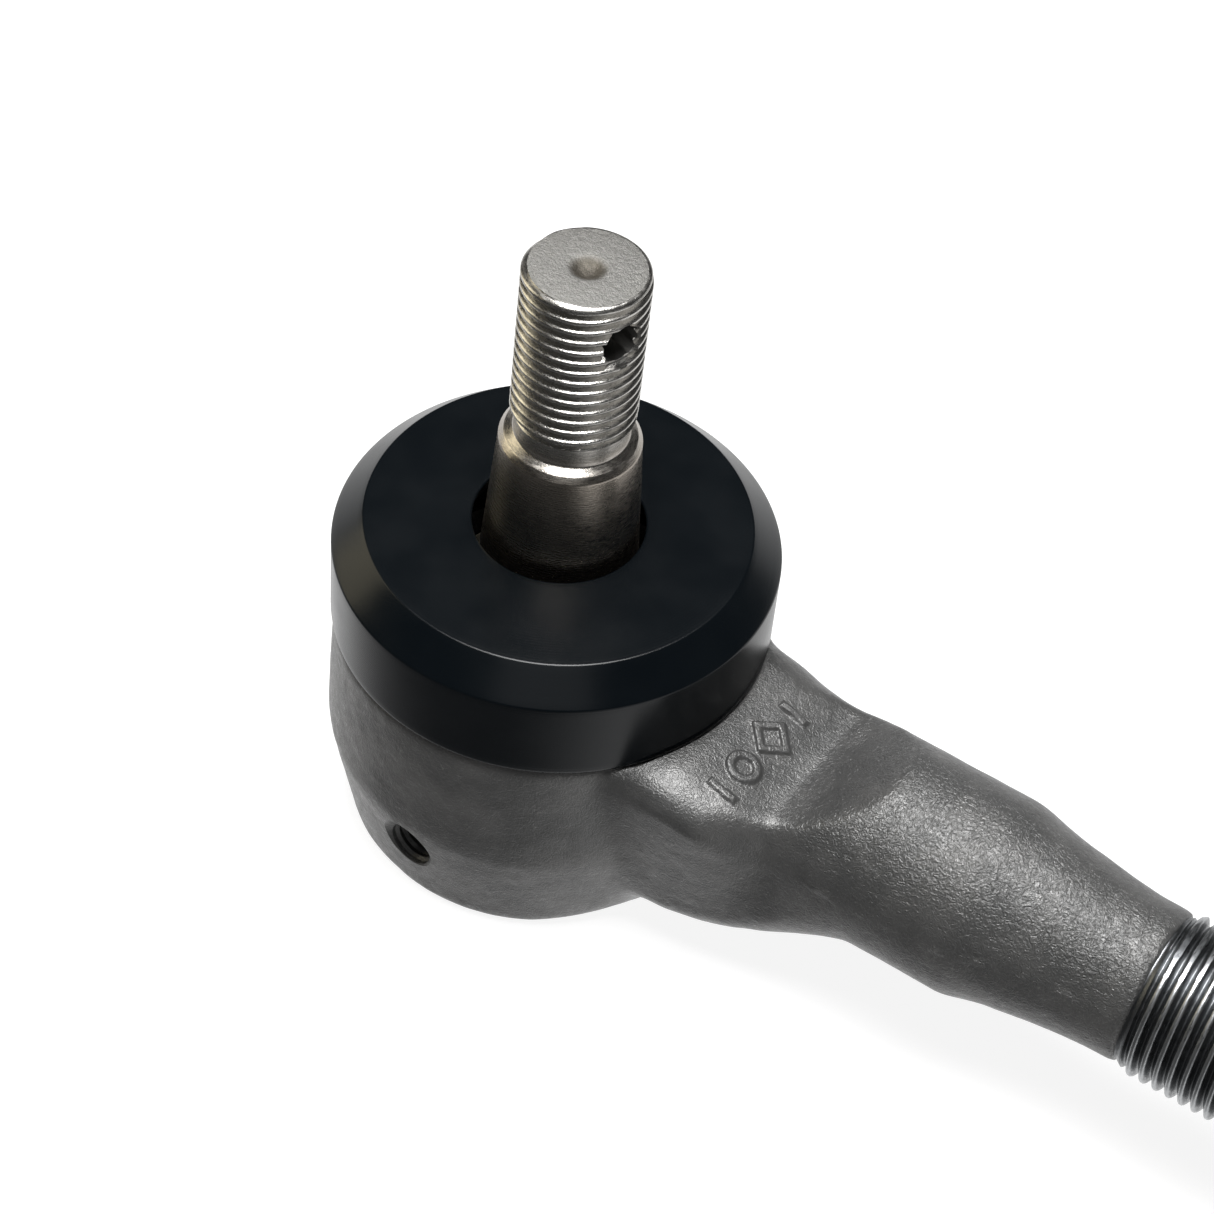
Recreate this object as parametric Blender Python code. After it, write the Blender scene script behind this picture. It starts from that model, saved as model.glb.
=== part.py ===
"""Forged tie rod end with a tapered ball stud.

Units are metres. Z is the axis of the socket, the threaded shank runs along +X and
the stud points up. The origin is on the axis of the socket, on the flat middle of
the end cover, level with the rolled lip round it. The stud stands at a small lean towards +Y, as it was left.
"""

from math import acos, asin, cos, pi, radians, sin, sqrt, tan

import bmesh
import bpy
import numpy as np
from mathutils import Matrix

# ---- Driving dimensions ------------------------------------------------------------
CLEARANCE = 0.0003  # between pieces that touch

# Ball, and how far it rocks
BALL_RADIUS = 0.0127
HEAD_DEPTH = 0.008  # from the ball's centre down to the flat under the stud's head
SWING_LIMIT = radians(20)
SWING_CLEARANCE = 0.0004  # between the stud's neck and the mouth at full swing
STUD_LEAN = radians(1.6)

# Socket
LINER_WALL = 0.0017
SOCKET_WALL = 0.0082  # outside the bore, at the widest height
BELLY_HEIGHT = 0.0131
CROWN_HEIGHT = 0.0075  # from the ball's centre up to the face that the seal sits on
TOP_INSET = 0.0005  # how far the socket draws in at its top
EDGE_ROUND = 0.001
LIP_HEIGHT = 0.0009
LIP_REACH = 0.0012  # how far the lip is rolled in under the cover
LIP_WALL = 0.0022
LEDGE = 0.0034  # the step in the bore that the cover lies against
GREASE_HOLE_RADIUS = 0.0026
GREASE_RIM_RADIUS = 0.0033
GREASE_HOLE_HEIGHT = 0.0082
GREASE_HEADING = radians(-95)

# Cover, spring and bearing, stacked up from the lip
COVER_THICKNESS = 0.0018
COVER_DISH_RADIUS = 0.0105
WIRE_RADIUS = 0.0007
SPRING_TURNS = 2.25
SPRING_HEIGHT = 0.0029
SPRING_INNER_RADIUS = 0.0083
WASHER_THICKNESS = 0.0007
WASHER_HOLE_RADIUS = 0.0068
BEARING_FLOOR = 0.0018
BEARING_TOP_BELOW_CENTRE = 0.0015
BEARING_HOLE_RADIUS = 0.0025
HALF_BALL_RIM = 0.0011

# Dust seal
SEAL_RADIUS = 0.02302
SEAL_HEIGHT = 0.0127
SEAL_CHAMFER = 0.0032
SEAL_LIP = 0.002
SEAL_GAP = 0.00024  # round the stud's taper, on the side that it leans to
SEAL_CAVITY_RADIUS = 0.0152
SEAL_SHOULDER = 0.0045  # from the lip down to the full width of the cavity

# Stud, with heights above the top of the seal
TAPER_PER_SIDE = 1.5 / 12 / 2
TAPER_TOP_RADIUS = 0.00719
TAPER_LENGTH_ABOVE_SEAL = 0.0111
TAPER_LENGTH_BELOW_SEAL = 0.0042
NECK_BLEND = 0.0035
SHOULDER_ROUND = 0.0012
RELIEF_RADIUS = 0.00575
RELIEF_LENGTH = 0.0026
STUD_THREAD_RADIUS = 0.00635
STUD_THREAD_PITCH = 0.00127
STUD_THREAD_LENGTH = 0.0177
STUD_TIP_CHAMFER = 0.0007
COTTER_HOLE_RADIUS = 0.002
COTTER_RIM_RADIUS = 0.0027  # of the countersink, at the crests of the thread
COTTER_HOLE_BELOW_TIP = 0.0053
COTTER_HEADING = radians(-18)

# Shank and neck
SHANK_END = 0.117
SHANK_THREAD_RADIUS = 0.00873
SHANK_THREAD_PITCH = 0.00141
SHANK_THREAD_LENGTH = 0.0445
SHANK_TIP_CHAMFER = 0.0014
NECK_END_RADIUS = 0.0083
BARREL_RADIUS = 0.0108
HUMP_SET = 0.0002  # how far the barrel sits below the shank's axis
WAIST_RADIUS = 0.0098
PLATEAU_HALF_WIDTH = 0.0118
PLATEAU_HEIGHT = 0.0083  # above the shank's axis, beside the seal
NECK_CORNER = 0.006
NECK_HALF_WIDTH = 0.0124
NECK_DEPTH = 0.0168  # below the shank's axis, where the neck leaves the socket
NECK_LOWER_CORNER = 0.0055
# The next three go by distance from the socket's side.
# Top of the neck over the plateau's height: flat, drop, then the hump's sloping face
NECK_TOP = (
    (-0.001, 0),
    (0.001, -0.0003),
    (0.0043, -0.0009),
    (0.0089, -0.0017),
    (0.0115, -0.0034),
    (0.0188, 0.0024),
    (0.04, 0.019),
)
# How far the shoulder on the -Y side swells out, and how much sharper its corner is
SHOULDER_SWELL = ((0.001, 0.0035), (0.0043, 0.003), (0.0078, 0.0012), (0.0105, 0))
SHOULDER_SHARPER = ((0.001, 0.0028), (0.0043, 0.0026), (0.0078, 0.0012), (0.0105, 0))
SWELL_FOOT = 0.009  # below the shank's axis, where the swell starts
SWELL_RISE = 0.012

# Facets
SOCKET_SEGMENTS = 40
STUD_SEGMENTS = 24
SHANK_SEGMENTS = 24
HOLE_SEGMENTS = 16
CORNER_STEPS = 6
SPHERE_STEPS = 6

# ---- Sizes that follow from them ---------------------------------------------------
seat_radius = BALL_RADIUS + CLEARANCE
liner_radius = seat_radius + LINER_WALL
bore_radius = liner_radius + CLEARANCE
belly_radius = bore_radius + SOCKET_WALL
pocket_radius = bore_radius + LEDGE
cover_radius = pocket_radius - CLEARANCE
lip_radius = pocket_radius - LIP_REACH
foot_radius = pocket_radius + LIP_WALL

cover_bottom = LIP_HEIGHT + CLEARANCE
cover_top = cover_bottom + COVER_THICKNESS
cover_dish = cover_bottom  # its middle stands level with the lip
pocket_top = cover_top + CLEARANCE
spring_bottom = cover_top + CLEARANCE
spring_top = spring_bottom + SPRING_HEIGHT
washer_bottom = spring_top + CLEARANCE
bearing_bottom = washer_bottom + WASHER_THICKNESS + CLEARANCE
bearing_floor = bearing_bottom + BEARING_FLOOR
head_sweep = BALL_RADIUS * cos(acos(HEAD_DEPTH / BALL_RADIUS) - SWING_LIMIT)
ball_height = bearing_floor + head_sweep + CLEARANCE

socket_height = ball_height + CROWN_HEIGHT
seal_bottom = socket_height + CLEARANCE
seal_top = seal_bottom + SEAL_HEIGHT
mouth_radius = sqrt(seat_radius**2 - CROWN_HEIGHT**2)
neck_radius = (
    mouth_radius - SWING_CLEARANCE - CROWN_HEIGHT * tan(SWING_LIMIT)
) * cos(SWING_LIMIT)
half_ball_hole = neck_radius + CLEARANCE
half_ball_height = sqrt(BALL_RADIUS**2 - (half_ball_hole + HALF_BALL_RIM) ** 2)

# Heights along the stud, from the ball's centre
seal_top_on_stud = seal_top - ball_height
taper_top = seal_top_on_stud + TAPER_LENGTH_ABOVE_SEAL
taper_bottom = seal_top_on_stud - TAPER_LENGTH_BELOW_SEAL
thread_bottom = taper_top + SHOULDER_ROUND + RELIEF_LENGTH
stud_tip = thread_bottom + STUD_THREAD_LENGTH
cotter_height = stud_tip - COTTER_HOLE_BELOW_TIP

lip_bottom_on_stud = seal_top_on_stud - SEAL_LIP
taper_at_lip = TAPER_TOP_RADIUS + TAPER_PER_SIDE * (taper_top - lip_bottom_on_stud)
seal_hole_radius = taper_at_lip + lip_bottom_on_stud * tan(STUD_LEAN) + SEAL_GAP

shank_thread_start = SHANK_END - SHANK_THREAD_LENGTH
THREAD_DEPTH_SHARE = 0.6134  # of the pitch, for a 60 degree thread


# ---- Mesh tools --------------------------------------------------------------------
def clear_scene():
    for thing in list(bpy.data.objects):
        bpy.data.objects.remove(thing, do_unlink=True)


def material(name, colour, roughness, metallic):
    made = bpy.data.materials.new(name)
    made.use_nodes = True
    shader = made.node_tree.nodes["Principled BSDF"]
    shader.inputs["Base Color"].default_value = (*colour, 1)
    shader.inputs["Roughness"].default_value = roughness
    shader.inputs["Metallic"].default_value = metallic
    return made


def add_object(name, mesh, finish=None):
    made = bpy.data.objects.new(name, mesh)
    bpy.context.scene.collection.objects.link(made)
    if finish:
        mesh.materials.append(finish)
    return made


def mesh_from(name, verts, faces):
    """A smooth-shaded mesh whose faces all point outwards."""
    mesh = bpy.data.meshes.new(name)
    mesh.from_pydata(verts, [], faces)
    work = bmesh.new()
    work.from_mesh(mesh)
    bmesh.ops.recalc_face_normals(work, faces=work.faces)
    work.to_mesh(mesh)
    work.free()
    mesh.shade_smooth()
    mesh.set_sharp_from_angle(angle=radians(35))
    return mesh


def corner_angle(i, segments):
    """Where corner i of a ring stands; a flat side, not a corner, faces +X."""
    return 2 * pi * (i + 0.5) / segments


def ring(radius, height, segments):
    """Corners of a circle round Z."""
    turns = [corner_angle(i, segments) for i in range(segments)]
    return [(radius * cos(a), radius * sin(a), height) for a in turns]


def turned(name, outline, segments=SOCKET_SEGMENTS, closed=False):
    """A turned mesh: (radius, height) points round Z, or a closed outline for a ring.

    Points of an open outline at radius 0 become the poles.
    """
    verts = []
    rows = []
    for radius, height in outline:
        at = len(verts)
        if radius > 0:
            verts += ring(radius, height, segments)
            rows.append(list(range(at, at + segments)))
        else:
            verts.append((0, 0, height))
            rows.append([at] * segments)
    pairs = list(zip(rows, rows[1:] + rows[:1] if closed else rows[1:]))
    faces = []
    for low, high in pairs:
        for i in range(segments):
            j = (i + 1) % segments
            corners = [low[i], low[j], high[j], high[i]]
            faces.append(list(dict.fromkeys(corners)))
    return mesh_from(name, verts, faces)


def arc(centre_height, radius, start, end, steps):
    """(radius, height) points on a sphere's outline, by angle up from its equator."""
    angles = [start + (end - start) * i / steps for i in range(steps + 1)]
    return [(radius * cos(a), centre_height + radius * sin(a)) for a in angles]


def thread_rows(major, pitch, bottom, top, lead, segments):
    """Root and crest spirals of a screw thread round Z, between two flat rings.

    Gives corners and faces. The first ring is the flat ring at bottom and the last is
    the flat ring at top, both at the root's radius; lead is left plain at each end.
    """
    minor = major - THREAD_DEPTH_SHARE * pitch
    turns = int((top - bottom - 2 * lead) / pitch) - 1
    steps = turns * segments
    start = bottom + lead
    verts = ring(minor, bottom, segments)
    root = len(verts)
    for i in range(steps + segments + 1):
        angle = corner_angle(i, segments)
        height = start + pitch * i / segments
        verts.append((minor * cos(angle), minor * sin(angle), height))
    crest = len(verts)
    for i in range(steps + 1):
        angle = corner_angle(i, segments)
        height = start + pitch * (i / segments + 0.5)
        verts.append((major * cos(angle), major * sin(angle), height))
    last = len(verts)
    verts += ring(minor, top, segments)

    faces = []
    for i in range(steps):
        faces.append([root + i, root + i + 1, crest + i + 1, crest + i])
        above = root + i + segments
        faces.append([crest + i, crest + i + 1, above + 1, above])
    faces.append([root, crest, root + segments])
    faces.append([root + steps, root + steps + segments, crest + steps])
    end = root + steps
    close = segments - 1
    for i in range(close):
        faces.append([i, i + 1, root + i + 1, root + i])
    for i in range(1, close):
        faces.append([end + i, end + i + 1, last + i + 1, last + i])
    faces.append([close, 0, root, root + segments, root + close])
    faces.append([end, end + 1, last + 1, last, end + segments])
    faces.append([end + close, end + segments, last, last + close])
    return verts, faces


def add_ring(verts, faces, radius, height, segments, below):
    """One more flat ring on top of the ring that starts at below."""
    at = len(verts)
    verts += ring(radius, height, segments)
    for i in range(segments):
        j = (i + 1) % segments
        faces.append([below + i, below + j, at + j, at + i])
    return at


def modifier_cut(piece, name, cutter, operation):
    """A Boolean on a piece; the other shape is only a guide and isn't built."""
    cut = piece.modifiers.new(name, "BOOLEAN")
    cut.solver = "EXACT"
    cut.operation = operation
    cut.object = cutter
    cutter.hide_render = True
    cutter.display_type = "WIRE"


# ---- Socket housing ----------------------------------------------------------------
def socket_outline():
    """The outside of the socket, from its axis at the foot up to its axis on top."""
    top_radius = belly_radius - TOP_INSET
    return [
        (0, 0),
        (foot_radius - EDGE_ROUND, 0),
        (foot_radius - EDGE_ROUND * 0.3, EDGE_ROUND * 0.3),
        (foot_radius, EDGE_ROUND),
        (belly_radius - 0.0002, BELLY_HEIGHT - 0.002),
        (belly_radius, BELLY_HEIGHT),
        (top_radius, socket_height - EDGE_ROUND * 0.5),
        (top_radius - EDGE_ROUND * 0.5, socket_height),
        (0, socket_height),
    ]


def bore_outline():
    """The hollow: lip, cover pocket, straight bore and spherical crown."""
    through = 0.002
    crown = arc(
        ball_height, bore_radius, 0, asin(CROWN_HEIGHT / bore_radius), SPHERE_STEPS
    )
    mouth = crown[-1][0]
    return [
        (0, -through),
        (lip_radius, -through),
        (lip_radius, LIP_HEIGHT),
        (pocket_radius, LIP_HEIGHT),
        (pocket_radius, pocket_top),
        (bore_radius, pocket_top),
        *crown,
        (mouth, socket_height + through),
        (0, socket_height + through),
    ]


def neck_stations():
    """Cross sections along the neck, from inside the socket's wall to the thread.

    Each is x, then (half width, height, corner) above the shank's axis, then
    (half width, depth, corner) below it.
    """
    edge = belly_radius
    end = shank_thread_start
    wide, top, corner = PLATEAU_HALF_WIDTH, PLATEAU_HEIGHT, NECK_CORNER
    broad, deep, under = NECK_HALF_WIDTH, NECK_DEPTH, NECK_LOWER_CORNER
    barrel = (BARREL_RADIUS, BARREL_RADIUS - HUMP_SET, BARREL_RADIUS)
    belly = (BARREL_RADIUS, BARREL_RADIUS + HUMP_SET, BARREL_RADIUS)
    waist = (WAIST_RADIUS, WAIST_RADIUS, WAIST_RADIUS)
    throat = (NECK_END_RADIUS + 0.0004,) * 3
    rim = (NECK_END_RADIUS,) * 3
    return [
        (bore_radius + 0.002, (wide, top, corner), (broad, deep, under)),
        (edge - 0.001, (wide, top, corner), (broad, deep, under)),
        (
            edge + 0.001,
            (wide - 0.0001, top - 0.0003, corner),
            (broad - 0.0002, deep - 0.0003, under),
        ),
        (
            edge + 0.0043,
            (wide - 0.0005, top - 0.0009, corner - 0.0002),
            (broad - 0.0006, deep - 0.0009, under),
        ),
        (
            edge + 0.0078,
            (wide - 0.0007, top - 0.0005, corner + 0.0014),
            (broad - 0.0011, deep - 0.0017, under + 0.0005),
        ),
        (
            edge + 0.0089,
            (wide - 0.0008, top - 0.0001, corner + 0.0022),
            (broad - 0.0012, deep - 0.0021, under + 0.0009),
        ),
        (edge + 0.0115, barrel, (broad - 0.0014, deep - 0.003, under + 0.0016)),
        (edge + 0.0145, barrel, (broad - 0.0016, deep - 0.0041, under + 0.003)),
        (edge + 0.0165, barrel, (BARREL_RADIUS, deep - 0.0048, under + 0.004)),
        (edge + 0.0198, barrel, belly),
        (end - 0.0185, barrel, belly),
        (end - 0.0145, waist, waist),
        (end - 0.0075, throat, throat),
        (end - 0.0035, rim, rim),
        (end, rim, rim),
    ]


def by_distance(x, curve):
    """The value at x of a curve that goes by distance from the socket's side."""
    places, values = zip(*curve)
    return float(np.interp(x - belly_radius, places, values))


def neck_section(x, above, below):
    """(y, z) corners of a rounded box at x, anticlockwise seen from +X."""
    half_width, height, corner = above
    near = (half_width, height, corner - by_distance(x, SHOULDER_SHARPER))
    swell = by_distance(x, SHOULDER_SWELL)
    top = PLATEAU_HEIGHT + by_distance(x, NECK_TOP)
    points = []
    for start, side, (half_width, height, corner) in (
        (0, 1, above),
        (pi / 2, -1, near),
        (pi, -1, below),
        (3 * pi / 2, 1, below),
    ):
        corner = min(corner, half_width, height)
        up = 1 if start < pi else -1
        for i in range(CORNER_STEPS + 1):
            angle = start + pi / 2 * i / CORNER_STEPS
            y = side * (half_width - corner) + corner * cos(angle)
            z = min(up * (height - corner) + corner * sin(angle), top)
            rise = min(1, max(0, (z + SWELL_FOOT) / SWELL_RISE))
            out = min(1, max(0, -y / above[0]))
            points.append((y - swell * out**2 * rise**2 * (3 - 2 * rise), z))
    return points


def neck_mesh():
    verts = []
    stations = neck_stations()
    for x, *section in stations:
        verts += [(x, y, ball_height + z) for y, z in neck_section(x, *section)]
    count = 4 * (CORNER_STEPS + 1)
    faces = [list(range(count))]
    for row in range(len(stations) - 1):
        for i in range(count):
            j = (i + 1) % count
            low, high = row * count, (row + 1) * count
            faces.append([low + i, low + j, high + j, high + i])
    faces.append(list(range(len(verts) - count, len(verts))))
    mesh = mesh_from("neck", verts, faces)
    work = bmesh.new()
    work.from_mesh(mesh)
    bmesh.ops.remove_doubles(work, verts=work.verts, dist=1e-6)
    work.to_mesh(mesh)
    work.free()
    return mesh


def shank_mesh():
    """The threaded shank, made along Z and laid along +X; its root end is buried."""
    minor = SHANK_THREAD_RADIUS - THREAD_DEPTH_SHARE * SHANK_THREAD_PITCH
    buried = 0.003
    bottom = shank_thread_start - buried
    top = SHANK_END - SHANK_TIP_CHAMFER
    verts, faces = thread_rows(
        SHANK_THREAD_RADIUS,
        SHANK_THREAD_PITCH,
        bottom,
        top,
        SHANK_THREAD_PITCH * 0.25,
        SHANK_SEGMENTS,
    )
    rim = add_ring(
        verts,
        faces,
        minor - SHANK_TIP_CHAMFER / 3,
        SHANK_END,
        SHANK_SEGMENTS,
        len(verts) - SHANK_SEGMENTS,
    )
    faces.append(list(range(rim, rim + SHANK_SEGMENTS)))
    faces.append(list(range(SHANK_SEGMENTS)))
    mesh = mesh_from("shank", verts, faces)
    mesh.transform(Matrix.Rotation(pi / 2, 4, "Y"))
    mesh.transform(Matrix.Translation((0, 0, ball_height)))
    return mesh


def grease_hole_outline():
    """Along the drill's own axis, outwards from inside the bore."""
    inner = bore_radius - 0.002
    outer = belly_radius + 0.002
    # the rim's flare starts where the tapered wall stands at the hole's height
    share = (GREASE_HOLE_HEIGHT - EDGE_ROUND) / (BELLY_HEIGHT - EDGE_ROUND)
    wall = foot_radius + (belly_radius - foot_radius) * share
    flare = GREASE_RIM_RADIUS - GREASE_HOLE_RADIUS
    return [
        (0, inner),
        (GREASE_HOLE_RADIUS, inner),
        (GREASE_HOLE_RADIUS, wall - flare),
        (GREASE_RIM_RADIUS, wall),
        (GREASE_RIM_RADIUS + outer - wall, outer),
        (0, outer),
    ]


def build_housing(finish):
    housing = add_object(
        "socket_housing", turned("socket_housing", socket_outline()), finish
    )
    neck = add_object("neck_guide", neck_mesh())
    modifier_cut(housing, "neck", neck, "UNION")
    seat_height = 0.004
    seat = turned(
        "seal_seat_guide",
        [
            (0, socket_height),
            (SEAL_RADIUS + CLEARANCE, socket_height),
            (SEAL_RADIUS + CLEARANCE, socket_height + seat_height),
            (0, socket_height + seat_height),
        ],
    )
    modifier_cut(housing, "seat", add_object("seal_seat_guide", seat), "DIFFERENCE")
    shank = add_object("shank_guide", shank_mesh())
    modifier_cut(housing, "shank", shank, "UNION")
    bore = add_object("bore_guide", turned("bore_guide", bore_outline()))
    modifier_cut(housing, "bore", bore, "DIFFERENCE")
    hole = turned("grease_hole_guide", grease_hole_outline(), HOLE_SEGMENTS)
    drill = add_object("grease_hole_guide", hole)
    heading = Matrix.Rotation(GREASE_HEADING, 4, "Z")
    lay = Matrix.Rotation(pi / 2, 4, "Y")
    drill.matrix_world = (
        Matrix.Translation((0, 0, GREASE_HOLE_HEIGHT)) @ heading @ lay
    )
    modifier_cut(housing, "grease_hole", drill, "DIFFERENCE")
    return housing


# ---- Pieces inside the socket ------------------------------------------------------
def build_cover(finish):
    inner = COVER_DISH_RADIUS - cover_dish
    outline = [
        (0, cover_bottom - cover_dish),
        (inner, cover_bottom - cover_dish),
        (COVER_DISH_RADIUS, cover_bottom),
        (cover_radius, cover_bottom),
        (cover_radius, cover_top),
        (inner, cover_top),
        (inner - cover_dish, cover_top - cover_dish),
        (0, cover_top - cover_dish),
    ]
    return add_object("end_cover", turned("end_cover", outline), finish)


def build_spring(finish):
    """A cone of round wire, wide where it stands on the cover."""
    wide = bore_radius - CLEARANCE * 3 - WIRE_RADIUS
    points_per_turn = 24
    count = int(SPRING_TURNS * points_per_turn)
    curve = bpy.data.curves.new("preload_spring", "CURVE")
    curve.dimensions = "3D"
    curve.bevel_depth = WIRE_RADIUS
    curve.bevel_resolution = 2
    curve.use_fill_caps = True
    line = curve.splines.new("POLY")
    line.points.add(count)
    low, high = spring_bottom + WIRE_RADIUS, spring_top - WIRE_RADIUS
    for i, point in enumerate(line.points):
        share = i / count
        angle = 2 * pi * SPRING_TURNS * share
        radius = wide + (SPRING_INNER_RADIUS - wide) * share
        height = low + (high - low) * share
        point.co = (radius * cos(angle), radius * sin(angle), height, 1)
    curve.materials.append(finish)
    made = bpy.data.objects.new("preload_spring", curve)
    bpy.context.scene.collection.objects.link(made)
    return made


def build_washer(finish):
    top = washer_bottom + WASHER_THICKNESS
    outer = liner_radius - CLEARANCE
    outline = [
        (WASHER_HOLE_RADIUS, washer_bottom),
        (outer, washer_bottom),
        (outer, top),
        (WASHER_HOLE_RADIUS, top),
    ]
    mesh = turned("spring_washer", outline, closed=True)
    return add_object("spring_washer", mesh, finish)


def build_lower_bearing(finish):
    """The cup under the ball, free to turn in the bore; its origin is the ball's."""
    low = bearing_bottom - ball_height
    floor = bearing_floor - ball_height
    top = -BEARING_TOP_BELOW_CENTRE
    cup = arc(
        0,
        seat_radius,
        asin(floor / seat_radius),
        asin(top / seat_radius),
        SPHERE_STEPS,
    )
    chamfer = CLEARANCE * 2
    outline = [
        (BEARING_HOLE_RADIUS, low),
        (liner_radius - chamfer, low),
        (liner_radius, low + chamfer),
        (liner_radius, top),
        *reversed(cup),
        (BEARING_HOLE_RADIUS, floor),
    ]
    mesh = turned("lower_bearing", outline, closed=True)
    bearing = add_object("lower_bearing", mesh, finish)
    bearing.location = (0, 0, ball_height)
    return bearing


def build_upper_bearing(finish):
    """The liner between the half ball and the crown of the socket."""
    low = CLEARANCE * 2
    inside = arc(
        ball_height,
        seat_radius,
        asin(low / seat_radius),
        asin(CROWN_HEIGHT / seat_radius),
        SPHERE_STEPS,
    )
    outside = arc(
        ball_height,
        liner_radius,
        asin(low / liner_radius),
        asin(CROWN_HEIGHT / liner_radius),
        SPHERE_STEPS,
    )
    mesh = turned("upper_bearing", outside + inside[::-1], closed=True)
    return add_object("upper_bearing", mesh, finish)


def build_half_ball(finish, swing):
    """The half ball that rocks in the socket while the stud turns inside it."""
    low = CLEARANCE / 2
    outside = arc(
        0,
        BALL_RADIUS,
        asin(low / BALL_RADIUS),
        asin(half_ball_height / BALL_RADIUS),
        SPHERE_STEPS,
    )
    outline = [
        (half_ball_hole, low),
        *outside,
        (half_ball_hole, half_ball_height),
    ]
    mesh = turned("half_ball", outline, STUD_SEGMENTS, closed=True)
    half = add_object("half_ball", mesh, finish)
    half.parent = swing
    return half


# ---- Stud --------------------------------------------------------------------------
def stud_body_outline():
    """(radius, height) from under the head up to the foot of the thread."""
    low = -CLEARANCE / 2
    head = arc(
        0,
        BALL_RADIUS,
        -asin(HEAD_DEPTH / BALL_RADIUS),
        asin(low / BALL_RADIUS),
        SPHERE_STEPS,
    )
    taper_foot = TAPER_TOP_RADIUS + TAPER_PER_SIDE * (taper_top - taper_bottom)
    drop = TAPER_TOP_RADIUS - RELIEF_RADIUS
    return [
        *head,
        (neck_radius, low),
        (neck_radius, taper_bottom - NECK_BLEND),
        (taper_foot - 0.0002, taper_bottom - 0.0006),
        (taper_foot, taper_bottom),
        (TAPER_TOP_RADIUS, taper_top),
        (TAPER_TOP_RADIUS - drop * 0.35, taper_top + SHOULDER_ROUND * 0.4),
        (RELIEF_RADIUS, taper_top + SHOULDER_ROUND),
    ]


def stud_mesh():
    segments = STUD_SEGMENTS
    verts = []
    faces = []
    rows = stud_body_outline()
    verts += ring(*rows[0], segments)
    faces.append(list(range(segments)))
    below = 0
    for radius, height in rows[1:]:
        below = add_ring(verts, faces, radius, height, segments, below)
    thread, sides = thread_rows(
        STUD_THREAD_RADIUS,
        STUD_THREAD_PITCH,
        thread_bottom - RELIEF_LENGTH * 0.1,
        stud_tip - STUD_TIP_CHAMFER,
        STUD_THREAD_PITCH * 0.1,
        segments,
    )
    at = len(verts)
    verts += thread
    faces += [[at + i for i in side] for side in sides]
    for i in range(segments):
        j = (i + 1) % segments
        faces.append([below + i, below + j, at + j, at + i])
    minor = STUD_THREAD_RADIUS - THREAD_DEPTH_SHARE * STUD_THREAD_PITCH
    rim = add_ring(
        verts,
        faces,
        minor - STUD_TIP_CHAMFER * 0.3,
        stud_tip,
        segments,
        len(verts) - segments,
    )
    faces.append(list(range(rim, rim + segments)))
    return mesh_from("ball_stud", verts, faces)


def build_stud(finish, swing):
    stud = add_object("ball_stud", stud_mesh(), finish)
    stud.parent = swing
    beyond = 0.002
    wall = STUD_THREAD_RADIUS
    flare = COTTER_RIM_RADIUS - COTTER_HOLE_RADIUS
    outer_rim = COTTER_RIM_RADIUS + beyond
    outline = [
        (0, -wall - beyond),
        (outer_rim, -wall - beyond),
        (COTTER_HOLE_RADIUS, flare - wall),
        (COTTER_HOLE_RADIUS, wall - flare),
        (outer_rim, wall + beyond),
        (0, wall + beyond),
    ]
    mesh = turned("cotter_guide", outline, HOLE_SEGMENTS)
    drill = add_object("cotter_guide", mesh)
    drill.parent = swing
    heading = Matrix.Rotation(COTTER_HEADING, 4, "Z")
    lay = Matrix.Rotation(pi / 2, 4, "Y")
    drill.matrix_local = Matrix.Translation((0, 0, cotter_height)) @ heading @ lay
    modifier_cut(stud, "cotter_hole", drill, "DIFFERENCE")
    return stud


# ---- Dust seal ---------------------------------------------------------------------
def build_seal(finish):
    lip_bottom = seal_top - SEAL_LIP
    outline = [
        (SEAL_CAVITY_RADIUS, seal_bottom),
        (SEAL_RADIUS, seal_bottom),
        (SEAL_RADIUS, seal_top - SEAL_CHAMFER),
        (SEAL_RADIUS - SEAL_CHAMFER, seal_top),
        (seal_hole_radius, seal_top),
        (seal_hole_radius, lip_bottom),
        (SEAL_CAVITY_RADIUS, lip_bottom - SEAL_SHOULDER),
    ]
    mesh = turned("dust_seal", outline, closed=True)
    return add_object("dust_seal", mesh, finish)


# ---- Assembly ----------------------------------------------------------------------
def build():
    clear_scene()
    forging = material("forged_steel", (0.13, 0.13, 0.14), 0.45, 0.9)
    turned_steel = material("turned_steel", (0.45, 0.42, 0.38), 0.3, 1.0)
    rubber = material("black_rubber", (0.02, 0.022, 0.026), 0.42, 0.0)
    sintered = material("sintered_iron", (0.22, 0.2, 0.18), 0.5, 0.8)
    liner = material("acetal_liner", (0.75, 0.72, 0.64), 0.4, 0.0)
    pressed = material("pressed_steel", (0.3, 0.3, 0.31), 0.4, 1.0)
    spring_steel = material("spring_steel", (0.2, 0.21, 0.23), 0.35, 1.0)

    swing = bpy.data.objects.new("ball_centre", None)
    bpy.context.scene.collection.objects.link(swing)
    swing.location = (0, 0, ball_height)
    swing.rotation_euler = (-STUD_LEAN, 0, 0)

    build_housing(forging)
    build_cover(pressed)
    build_spring(spring_steel)
    build_washer(pressed)
    build_lower_bearing(sintered)
    build_upper_bearing(liner)
    build_half_ball(sintered, swing)
    build_stud(turned_steel, swing)
    build_seal(rubber)
    bpy.context.view_layer.update()


build()
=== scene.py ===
"""Looks for the forged tie rod end: every visible piece, its finish, lights and camera.

Metres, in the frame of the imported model: Z is the socket's axis, the threaded shank
runs along +X, and the stud leans a little towards +Y.
"""

from math import asin, cos, pi, radians, sin, sqrt, tan

import bmesh
import bpy
import numpy as np
from mathutils import Matrix, Vector, noise


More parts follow.
